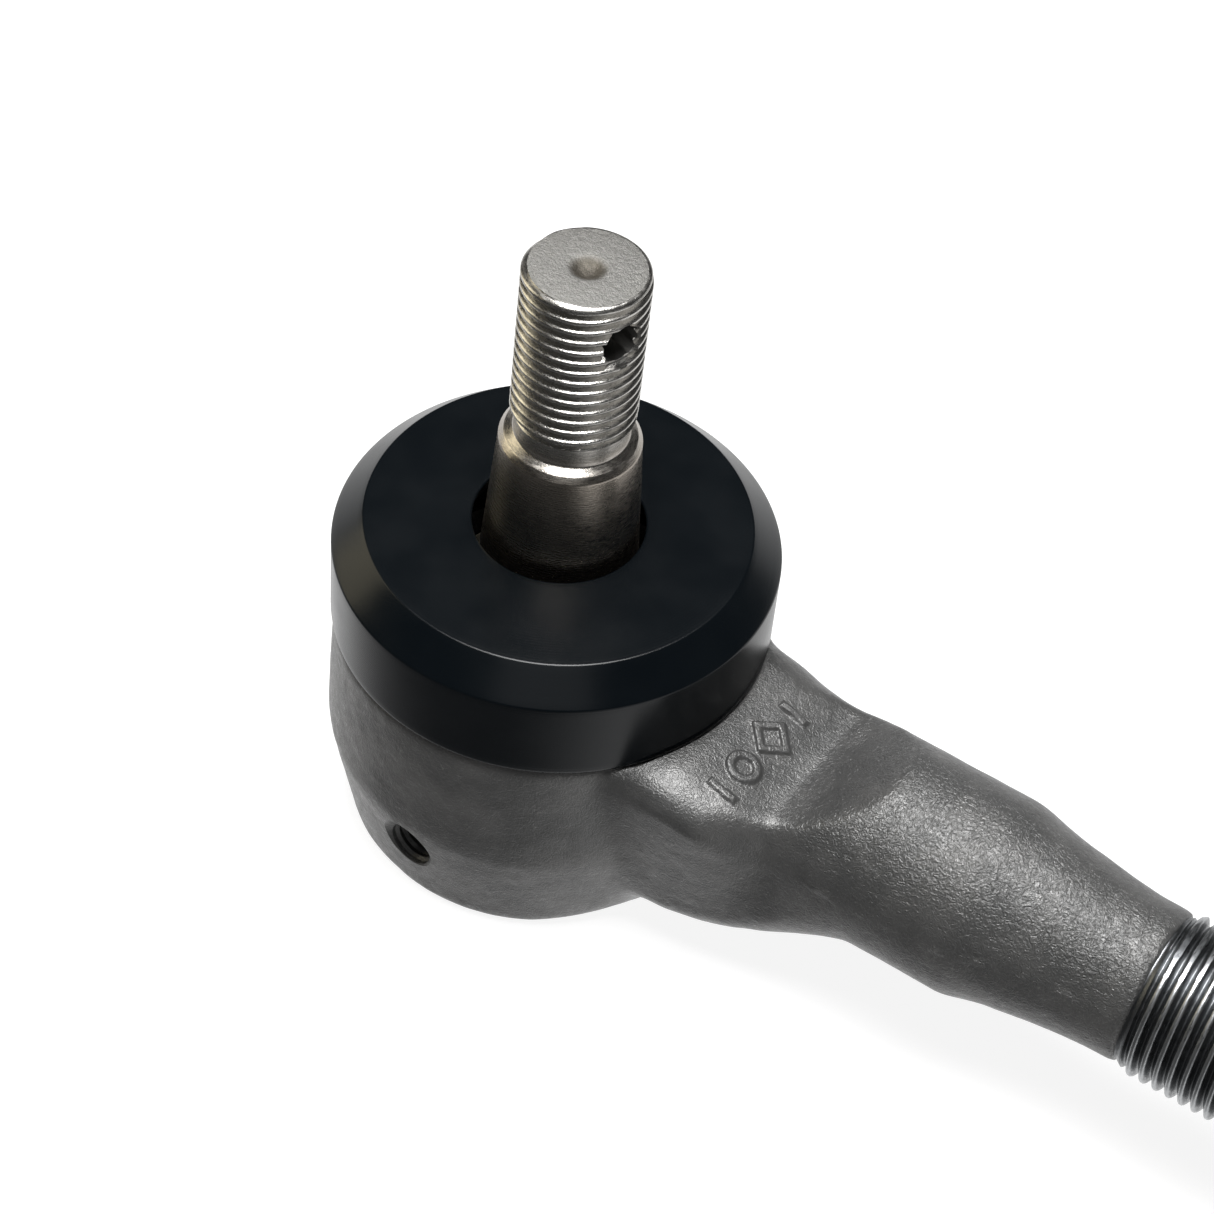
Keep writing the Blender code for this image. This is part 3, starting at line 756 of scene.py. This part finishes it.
def make_stud_thread():
    minor = STUD_THREAD_RADIUS - THREAD_DEPTH_SHARE * STUD_THREAD_PITCH
    bottom = thread_bottom - 0.9 * MM
    face = STUD_THREAD_RADIUS - 0.62 * MM

    def envelope(height, angle):
        run_in = np.clip((height - bottom) / (0.7 * STUD_THREAD_PITCH), 0, 1)
        limit = minor - 0.1 * MM + (STUD_THREAD_RADIUS - minor + 0.1 * MM) * run_in
        below_tip = stud_tip - height
        cone = face + 0.12 * MM + np.sqrt(np.clip(below_tip, 0, 1) * MM * 0.42)
        return np.minimum(limit, cone)

    rim = DIMPLE_RADIUS
    tip = [
        (face, stud_tip),
        (face - 0.2 * MM, stud_tip + 0.03 * MM),
        (rim + 0.3 * MM, stud_tip + 0.03 * MM),
    ]
    for k in range(12):
        t = k / 11
        drop = DIMPLE_DEPTH * (0.5 - 0.5 * cos(pi * min(1, t * 1.15)))
        tip.append((rim * (1 - t * 0.97), stud_tip + 0.03 * MM - drop))
    rod = threaded_rod(
        "stud_thread",
        STUD_THREAD_RADIUS,
        STUD_THREAD_PITCH,
        bottom,
        stud_tip,
        STUD_SEGMENTS,
        (0.14, 0.12, 0.8),
        envelope,
        tip,
    )
    wall = STUD_THREAD_RADIUS
    flare = COTTER_RIM_RADIUS - COTTER_HOLE_RADIUS
    beyond = 2 * MM
    outline = [
        (0, -wall - beyond),
        (COTTER_RIM_RADIUS + beyond, -wall - beyond),
        (COTTER_HOLE_RADIUS, flare - wall),
        (COTTER_HOLE_RADIUS, wall - flare),
        (COTTER_RIM_RADIUS + beyond, wall + beyond),
        (0, wall + beyond),
    ]
    drill = turned("cotter_drill", outline, DRILL_SEGMENTS)
    drill.data.transform(cotter_place())
    boolean(rod, drill)
    smooth(rod, 50)
    return on_stud(rod)


# ---- Seal --------------------------------------------------------------------------
def make_seal():
    lip_bottom = seal_top - SEAL_LIP
    on_stud_height = lip_bottom - ball_height
    taper_there = TAPER_TOP_RADIUS + TAPER_PER_SIDE * (taper_top - on_stud_height)
    hole = taper_there + on_stud_height * tan(STUD_LEAN) + SEAL_GAP
    outline = [
        (SEAL_CAVITY_RADIUS, seal_bottom, SEAL_EDGE),
        (SEAL_RADIUS, seal_bottom, SEAL_EDGE * 1.5),
        (SEAL_RADIUS, seal_top - SEAL_CHAMFER, SEAL_EDGE * 2),
        (SEAL_RADIUS - SEAL_CHAMFER, seal_top, SEAL_EDGE * 1.5),
        (hole, seal_top, SEAL_EDGE * 1.2),
        (hole + SEAL_FLARE, lip_bottom, SEAL_EDGE),
        (SEAL_CAVITY_RADIUS, lip_bottom - SEAL_SHOULDER, 0.6 * MM),
    ]
    points = divided(rounded(outline, closed=True), 0.8 * MM, closed=True)
    return turned("dust_ring", points, SEAL_SEGMENTS, closed=True)


# ---- Pieces inside the socket ------------------------------------------------------
def make_cover():
    dish = cover_bottom
    inner = COVER_DISH_RADIUS - dish
    outline = [
        (0, cover_bottom - dish, 0),
        (inner, cover_bottom - dish, 0.8 * MM),
        (COVER_DISH_RADIUS, cover_bottom, 0.8 * MM),
        (cover_radius, cover_bottom, 0.2 * MM),
        (cover_radius, cover_top, 0.2 * MM),
        (inner, cover_top, 0.8 * MM),
        (inner - dish, cover_top - dish, 0.8 * MM),
        (0, cover_top - dish, 0),
    ]
    return turned("closing_disc", rounded(outline))


def make_washer():
    hole, outer = 6.8 * MM, liner_radius - CLEARANCE
    low, high = washer_box[0].z, washer_box[1].z
    edge = 0.12 * MM
    outline = [
        (hole, low, edge),
        (outer, low, edge),
        (outer, high, edge),
        (hole, high, edge),
    ]
    points = rounded(outline, closed=True)
    return turned("flat_washer", points, INNER_SEGMENTS, closed=True)


def make_spring():
    wire = 0.7 * MM
    wide = bore_radius - CLEARANCE * 3 - wire
    narrow = 8.3 * MM
    turns = 2.25
    count = 160
    low, high = spring_box[0].z + wire, spring_box[1].z - wire
    curve = bpy.data.curves.new("coil_spring", "CURVE")
    curve.dimensions = "3D"
    curve.bevel_depth = wire
    curve.bevel_resolution = 5
    curve.use_fill_caps = True
    line = curve.splines.new("POLY")
    line.points.add(count)
    for i, point in enumerate(line.points):
        share = i / count
        angle = 2 * pi * turns * share
        radius = wide + (narrow - wide) * share
        height = low + (high - low) * share
        point.co = (radius * cos(angle), radius * sin(angle), height, 1)
    made = bpy.data.objects.new("coil_spring", curve)
    bpy.context.scene.collection.objects.link(made)
    return made


def make_lower_bearing():
    low, top = lower_box[0].z, lower_box[1].z
    floor = low + 1.8 * MM
    drop = floor - ball_height
    cup = arc(
        ball_height,
        seat_radius,
        asin((top - ball_height) / seat_radius),
        asin(drop / seat_radius),
    )
    hole = 2.5 * MM
    chamfer = 0.6 * MM
    outline = [
        (hole, low),
        (liner_radius - chamfer, low),
        (liner_radius, low + chamfer),
        (liner_radius, top),
        *cup,
        (hole, floor),
    ]
    return turned("lower_cup", outline, INNER_SEGMENTS, closed=True)


def make_upper_bearing():
    low = 2 * CLEARANCE
    inside = arc(
        ball_height,
        seat_radius,
        asin(low / seat_radius),
        asin(CROWN_HEIGHT / seat_radius),
    )
    outside = arc(
        ball_height,
        liner_radius,
        asin(low / liner_radius),
        asin(CROWN_HEIGHT / liner_radius),
    )
    points = outside + inside[::-1]
    return turned("crown_liner", points, INNER_SEGMENTS, closed=True)


def make_half_ball():
    low = CLEARANCE / 2
    hole = neck_radius + CLEARANCE
    high = sqrt(BALL_RADIUS**2 - (hole + 1.1 * MM) ** 2)
    outside = arc(0, BALL_RADIUS, asin(low / BALL_RADIUS), asin(high / BALL_RADIUS))
    outline = [(hole, low), *outside, (hole, high)]
    return on_stud(turned("half_ball_shell", outline, STUD_SEGMENTS, closed=True))


# ---- Finishes ----------------------------------------------------------------------
class Finish:
    """A procedural material, with short ways to add the nodes it's made of."""

    def __init__(self, name, roughness=0.5, metallic=0.0, specular=0.5):
        self.material = bpy.data.materials.new(name)
        self.material.use_nodes = True
        self.tree = self.material.node_tree
        self.shader = self.tree.nodes["Principled BSDF"]
        self.shader.inputs["Metallic"].default_value = metallic
        self.shader.inputs["Roughness"].default_value = roughness
        self.shader.inputs["Specular IOR Level"].default_value = specular
        self.place = self.tree.nodes.new("ShaderNodeTexCoord").outputs["Object"]
        self.normal = None

    def link(self, source, socket):
        self.tree.links.new(source, socket)

    def noise(self, size, detail=2.0, rough=0.5, distortion=0.0, vector=None):
        """Noise with features of that size, in metres."""
        node = self.tree.nodes.new("ShaderNodeTexNoise")
        node.inputs["Scale"].default_value = 1 / size
        node.inputs["Detail"].default_value = detail
        node.inputs["Roughness"].default_value = rough
        node.inputs["Distortion"].default_value = distortion
        self.link(vector or self.place, node.inputs["Vector"])
        return node.outputs["Fac"]

    def stretched(self, x, y, z):
        node = self.tree.nodes.new("ShaderNodeMapping")
        node.inputs["Scale"].default_value = (x, y, z)
        self.link(self.place, node.inputs["Vector"])
        return node.outputs["Vector"]

    def axis(self, name):
        node = self.tree.nodes.new("ShaderNodeSeparateXYZ")
        self.link(self.place, node.inputs[0])
        return node.outputs[name]

    def math(self, operation, a, b=None, clamp=False):
        node = self.tree.nodes.new("ShaderNodeMath")
        node.operation = operation
        node.use_clamp = clamp
        for socket, value in zip(node.inputs, (a, b)):
            if value is None:
                continue
            if isinstance(value, (int, float)):
                socket.default_value = value
            else:
                self.link(value, socket)
        return node.outputs[0]

    def span(self, value, low, high, to_low=0.0, to_high=1.0):
        node = self.tree.nodes.new("ShaderNodeMapRange")
        node.interpolation_type = "SMOOTHSTEP"
        self.link(value, node.inputs["Value"])
        for name, number in (
            ("From Min", low),
            ("From Max", high),
            ("To Min", to_low),
            ("To Max", to_high),
        ):
            node.inputs[name].default_value = number
        return node.outputs["Result"]

    def mix(self, share, a, b):
        node = self.tree.nodes.new("ShaderNodeMix")
        node.data_type = "RGBA"
        self.link(share, node.inputs["Factor"])
        for socket, value in ((node.inputs[6], a), (node.inputs[7], b)):
            if isinstance(value, tuple):
                socket.default_value = (*value, 1)
            else:
                self.link(value, socket)
        return node.outputs[2]

    def bump(self, height, distance, strength=1.0):
        """Each call adds to the bumps so far."""
        node = self.tree.nodes.new("ShaderNodeBump")
        node.inputs["Distance"].default_value = distance
        node.inputs["Strength"].default_value = strength
        self.link(height, node.inputs["Height"])
        if self.normal:
            self.link(self.normal, node.inputs["Normal"])
        self.normal = node.outputs["Normal"]

    def finish(self, colour=None, roughness=None):
        if colour:
            self.link(colour, self.shader.inputs["Base Color"])
        if roughness:
            self.link(roughness, self.shader.inputs["Roughness"])
        if self.normal:
            self.link(self.normal, self.shader.inputs["Normal"])
        return self.material


def forged_steel():
    """Dark scale with a wrinkled skin, worn a little lighter on its high spots."""
    made = Finish("forged_steel", metallic=0.55)
    wrinkle = made.noise(0.55 * MM, 3, 0.5, 1.6)
    grain = made.noise(0.18 * MM, 3, 0.6)
    patch = made.noise(6 * MM, 3, 0.6)
    fleck = made.noise(0.9 * MM, 4, 0.65, 0.5)
    base = made.mix(
        made.span(patch, 0.35, 0.7), (0.082, 0.082, 0.081), (0.108, 0.107, 0.105)
    )
    high = made.span(fleck, 0.6, 0.8, 0.0, 0.6)
    colour = made.mix(high, base, (0.2, 0.197, 0.19))
    on_barrel = made.span(made.axis("X"), 30 * MM, 42 * MM, 0.4, 0.9)
    made.bump(patch, 0.1 * MM)
    made.bump(made.math("MULTIPLY", wrinkle, on_barrel), 0.19 * MM)
    made.bump(grain, 0.035 * MM)
    return made.finish(colour, made.span(fleck, 0.3, 0.75, 0.42, 0.3))


def thread_steel():
    """The shank's thread: blue-grey steel, oiled, with wear along the crests."""
    made = Finish("thread_steel", metallic=1.0)
    lines = made.noise(0.35 * MM, 4, 0.6, vector=made.stretched(3.0, 0.4, 0.4))
    spots = made.noise(2.5 * MM, 3, 0.6)
    out = made.math("POWER", made.axis("Y"), 2.0)
    up = made.math("SUBTRACT", made.axis("Z"), ball_height)
    radius = made.math("SQRT", made.math("ADD", out, made.math("POWER", up, 2.0)))
    crest = made.span(radius, SHANK_THREAD_RADIUS - 0.3 * MM, SHANK_THREAD_RADIUS)
    dark = made.mix(spots, (0.115, 0.122, 0.13), (0.19, 0.195, 0.2))
    colour = made.mix(crest, dark, (0.42, 0.43, 0.44))
    made.bump(lines, 0.02 * MM)
    made.bump(spots, 0.05 * MM)
    return made.finish(colour, made.span(lines, 0.3, 0.7, 0.26, 0.42))


def stud_steel(name="stud_steel"):
    """Bright rolled and ground steel, browned low down on the taper."""
    made = Finish(name, metallic=1.0)
    height = made.axis("Z")
    lines = made.noise(0.3 * MM, 4, 0.65, vector=made.stretched(0.3, 0.3, 3.0))
    spots = made.noise(2.2 * MM, 4, 0.65)
    stain = made.noise(3.5 * MM, 3, 0.6, 0.8)
    bright = made.mix(spots, (0.42, 0.408, 0.385), (0.6, 0.585, 0.555))
    brown = made.mix(stain, (0.25, 0.22, 0.19), (0.42, 0.38, 0.33))
    on_taper = made.span(height, taper_top + 0.9 * MM, taper_top - 0.4 * MM)
    on_relief = made.span(height, thread_bottom + 0.3 * MM, taper_top + MM, 0.0, 0.55)
    colour = made.mix(on_taper, made.mix(on_relief, bright, brown), brown)
    made.bump(lines, 0.018 * MM)
    made.bump(spots, 0.04 * MM)
    return made.finish(colour, made.span(lines, 0.3, 0.7, 0.2, 0.34))


def stud_face():
    """The sawn end of the stud: pale and grainy."""
    made = Finish("stud_face", metallic=0.85)
    grain = made.noise(0.22 * MM, 4, 0.7)
    pits = made.noise(0.7 * MM, 3, 0.6)
    centre = made.math("POWER", made.axis("X"), 2.0)
    other = made.math("POWER", made.axis("Y"), 2.0)
    radius = made.math("SQRT", made.math("ADD", centre, other))
    inside = made.span(radius, DIMPLE_RADIUS, DIMPLE_RADIUS * 0.55)
    pale = made.mix(grain, (0.13, 0.127, 0.12), (0.3, 0.295, 0.28))
    brown = made.mix(grain, (0.05, 0.045, 0.038), (0.17, 0.155, 0.13))
    colour = made.mix(inside, pale, brown)
    made.bump(grain, 0.1 * MM)
    made.bump(pits, 0.08 * MM)
    return made.finish(colour, made.span(pits, 0.3, 0.7, 0.42, 0.6))


def seal_rubber():
    """Black, slightly blue, with very fine rings left by the lathe."""
    made = Finish("seal_rubber", specular=0.24)
    fine = made.noise(0.25 * MM, 3, 0.6)
    cloud = made.noise(7 * MM, 2, 0.5)
    squares = [made.math("POWER", made.axis(n), 2.0) for n in ("X", "Y")]
    radius = made.math("SQRT", made.math("ADD", *squares))
    both = made.math("ADD", radius, made.axis("Z"))
    groove = made.math("SINE", made.math("MULTIPLY", both, 2 * pi / (0.34 * MM)))
    colour = made.mix(cloud, (0.0012, 0.0021, 0.003), (0.0021, 0.0033, 0.0044))
    made.bump(groove, 0.0012 * MM)
    made.bump(fine, 0.004 * MM)
    return made.finish(colour, made.span(cloud, 0.3, 0.7, 0.22, 0.27))


def plain_metal(name, low, high, roughness, grain=0.4 * MM, depth=0.03 * MM):
    """A mottled finish for the pieces inside and the disc underneath, and the painted
    shade on the cross hole's wall.
    """
    made = Finish(name, metallic=0.9)
    spots = made.noise(3 * MM, 4, 0.6)
    fine = made.noise(grain, 3, 0.6)
    colour = made.mix(spots, low, high)
    made.bump(fine, depth)
    return made.finish(colour, made.span(fine, 0.3, 0.7, roughness, roughness + 0.14))


def acetal():
    made = Finish("acetal", specular=0.5)
    cloud = made.noise(3 * MM, 3, 0.5)
    colour = made.mix(cloud, (0.62, 0.58, 0.48), (0.78, 0.75, 0.67))
    made.bump(made.noise(0.3 * MM), 0.01 * MM)
    return made.finish(colour, made.span(cloud, 0.3, 0.7, 0.34, 0.44))


def floor_white():
    made = Finish("floor_white", roughness=0.9, specular=0.1)
    made.shader.inputs["Base Color"].default_value = (0.25, 0.25, 0.25, 1)
    made.shader.inputs["Emission Color"].default_value = (1, 1, 1, 1)
    made.shader.inputs["Emission Strength"].default_value = FLOOR_GLOW
    return made.material


# ---- Lights, floor and camera ------------------------------------------------------
FLOOR_GLOW = 0.88
FLOOR_HALF_SIZE = 3.0
FLOOR_DROP = 0.02 * MM
BRIGHT_SIDE = 78  # azimuth of the studio's bright half; the camera's half is dim
AIM = Vector((7.98 * MM, -2.48 * MM, 35.15 * MM))
CAMERA_DISTANCE = 311.16 * MM
CAMERA_AZIMUTH = radians(-60.37)
CAMERA_ELEVATION = radians(47.37)
CAMERA_ROLL = radians(5.806)
CAMERA_LENS = 91.19


def heading(azimuth, elevation):
    """A unit vector towards that azimuth and elevation, in degrees."""
    a, e = radians(azimuth), radians(elevation)
    return Vector((cos(a) * cos(e), sin(a) * cos(e), sin(e)))


def softbox(name, azimuth, elevation, distance, width, height, power, colour=(1, 1, 1)):
    """A rectangular light that faces the object."""
    light = bpy.data.lights.new(name, "AREA")
    light.shape = "RECTANGLE"
    light.size = width
    light.size_y = height
    light.energy = power
    light.color = colour
    made = bpy.data.objects.new(name, light)
    bpy.context.scene.collection.objects.link(made)
    towards = heading(azimuth, elevation)
    made.location = AIM + towards * distance
    made.rotation_euler = towards.to_track_quat("Z", "Y").to_euler()


def make_surroundings():
    """What gloss sees: dim above, and below bright behind the object and dim in front."""
    world = bpy.data.worlds.new("studio")
    world.use_nodes = True
    bpy.context.scene.world = world
    tree = world.node_tree
    link = tree.links.new

    def span(value, low, high, to_low, to_high):
        node = tree.nodes.new("ShaderNodeMapRange")
        node.interpolation_type = "SMOOTHSTEP"
        for socket, number in zip(node.inputs[1:5], (low, high, to_low, to_high)):
            socket.default_value = number
        link(value, node.inputs["Value"])
        return node.outputs["Result"]

    place = tree.nodes.new("ShaderNodeTexCoord").outputs["Generated"]
    axes = tree.nodes.new("ShaderNodeSeparateXYZ")
    link(place, axes.inputs[0])
    towards = tree.nodes.new("ShaderNodeVectorMath")
    towards.operation = "DOT_PRODUCT"
    towards.inputs[1].default_value = heading(BRIGHT_SIDE, 0)
    link(place, towards.inputs[0])
    low_side = span(towards.outputs["Value"], -0.62, 0.0, 0.1, 1.12)
    high_side = span(towards.outputs["Value"], -0.5, 0.5, 0.035, 0.05)
    blend = tree.nodes.new("ShaderNodeMix")
    link(span(axes.outputs["Z"], -0.05, 0.1, 0.0, 1.0), blend.inputs[0])
    link(low_side, blend.inputs[2])
    link(high_side, blend.inputs[3])
    tree.nodes["Background"].inputs["Color"].default_value = (1, 1, 1, 1)
    link(blend.outputs[0], tree.nodes["Background"].inputs["Strength"])


def make_studio():
    size = FLOOR_HALF_SIZE
    low = cad_low.z - FLOOR_DROP
    around = ((-1, -1), (1, -1), (1, 1), (-1, 1))
    corners = [(x * size, y * size, low) for x, y in around]
    mesh = bpy.data.meshes.new("floor")
    mesh.from_pydata(corners, [], [[0, 1, 2, 3]])
    mesh.materials.append(floor_white())
    floor = bpy.data.objects.new("floor", mesh)
    bpy.context.scene.collection.objects.link(floor)
    floor.visible_glossy = False  # gloss shows the studio below instead
    make_surroundings()
    softbox("key", 120, 89, 0.8, 0.38, 0.56, 14.6)
    softbox("front_fill", -60, 45, 0.9, 0.6, 0.35, 0.42)
    softbox("warm_left", 190, 24, 0.7, 0.34, 0.5, 1.1, (1, 0.9, 0.66))


def make_camera():
    camera = bpy.data.cameras.new("camera")
    camera.lens = CAMERA_LENS
    camera.sensor_width = 36
    camera.clip_start = 0.01
    made = bpy.data.objects.new("camera", camera)
    bpy.context.scene.collection.objects.link(made)
    back = Vector(
        (
            cos(CAMERA_AZIMUTH) * cos(CAMERA_ELEVATION),
            sin(CAMERA_AZIMUTH) * cos(CAMERA_ELEVATION),
            sin(CAMERA_ELEVATION),
        )
    )
    side = Vector((0, 0, 1)).cross(back).normalized()
    up = back.cross(side)
    turn = Matrix((side, up, back)).transposed().to_4x4()
    roll = Matrix.Rotation(CAMERA_ROLL, 4, "Z")
    made.matrix_world = Matrix.Translation(AIM + back * CAMERA_DISTANCE) @ turn @ roll
    bpy.context.scene.camera = made
    bpy.context.scene.view_settings.view_transform = "Standard"


# ---- Assembly ----------------------------------------------------------------------
def fit(piece, finish, body, slot, *nodes):
    """Gives a piece its finish and body, in place of those CAD nodes."""
    piece.data.materials.clear()
    piece.data.materials.append(finish)
    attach(piece, body)
    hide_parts(*nodes)


def paint_stud(rod, end_finish, hole_wall_shade):
    """The stud's end takes the grainy finish, and the cross hole's wall the dark one, a
    painted shade for the shadow inside the narrow hole.
    """
    rod.data.materials.append(end_finish)
    rod.data.materials.append(hole_wall_shade)
    to_drill = cotter_place().inverted()
    for face in rod.data.polygons:
        across = face.center.to_2d().length
        from_drill = (to_drill @ face.center).to_2d().length
        if face.center.z > stud_tip - 1.1 * DIMPLE_DEPTH:
            if across < STUD_THREAD_RADIUS - 0.66 * MM:
                face.material_index = 1
        elif from_drill < COTTER_HOLE_RADIUS + 0.03 * MM:
            # painted shade: the hole's wall is made dark for the shadow inside the narrow
            # hole
            face.material_index = 2


def build():
    forging = make_forging()
    fit(forging, forged_steel(), "socket", "forged_steel", "socket_housing")
    fit(make_shank(), thread_steel(), "socket", "forged_steel", "socket_housing")
    pressed = plain_metal("pressed_steel", (0.2, 0.2, 0.205), (0.3, 0.3, 0.305), 0.34)
    fit(make_cover(), pressed, "socket", "pressed_steel", "end_cover")
    fit(make_washer(), pressed, "socket", "pressed_steel", "spring_washer")
    wire = plain_metal("spring_steel", (0.14, 0.15, 0.17), (0.24, 0.25, 0.27), 0.28)
    fit(make_spring(), wire, "socket", "spring_steel", "preload_spring")
    sintered = plain_metal(
        "sintered_iron", (0.16, 0.145, 0.13), (0.25, 0.23, 0.2), 0.45, 0.25 * MM
    )
    fit(make_upper_bearing(), acetal(), "socket", "liner", "upper_bearing")
    lower = make_lower_bearing()
    fit(lower, sintered, "bearing_and_seal", "sintered_iron", "lower_bearing")
    fit(make_half_ball(), sintered, "half_ball", "sintered_iron", "half_ball")
    steel = stud_steel()
    fit(make_shaft(), steel, "stud", "turned_steel", "ball_stud")
    thread = make_stud_thread()
    fit(thread, steel, "stud", "turned_steel", "ball_stud")
    # Dark mottled metal for the cross hole's wall: a painted shade, standing in for the
    # shadow inside the narrow hole.
    dark_hole_shade = plain_metal("cross_hole_painted_shade", (0.1, 0.098, 0.095), (0.2, 0.195, 0.185), 0.4)
    paint_stud(thread, stud_face(), dark_hole_shade)
    seal = make_seal()
    seal.data.materials.append(seal_rubber())
    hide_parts("dust_seal")
    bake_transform(seal)


build()
make_studio()
make_camera()
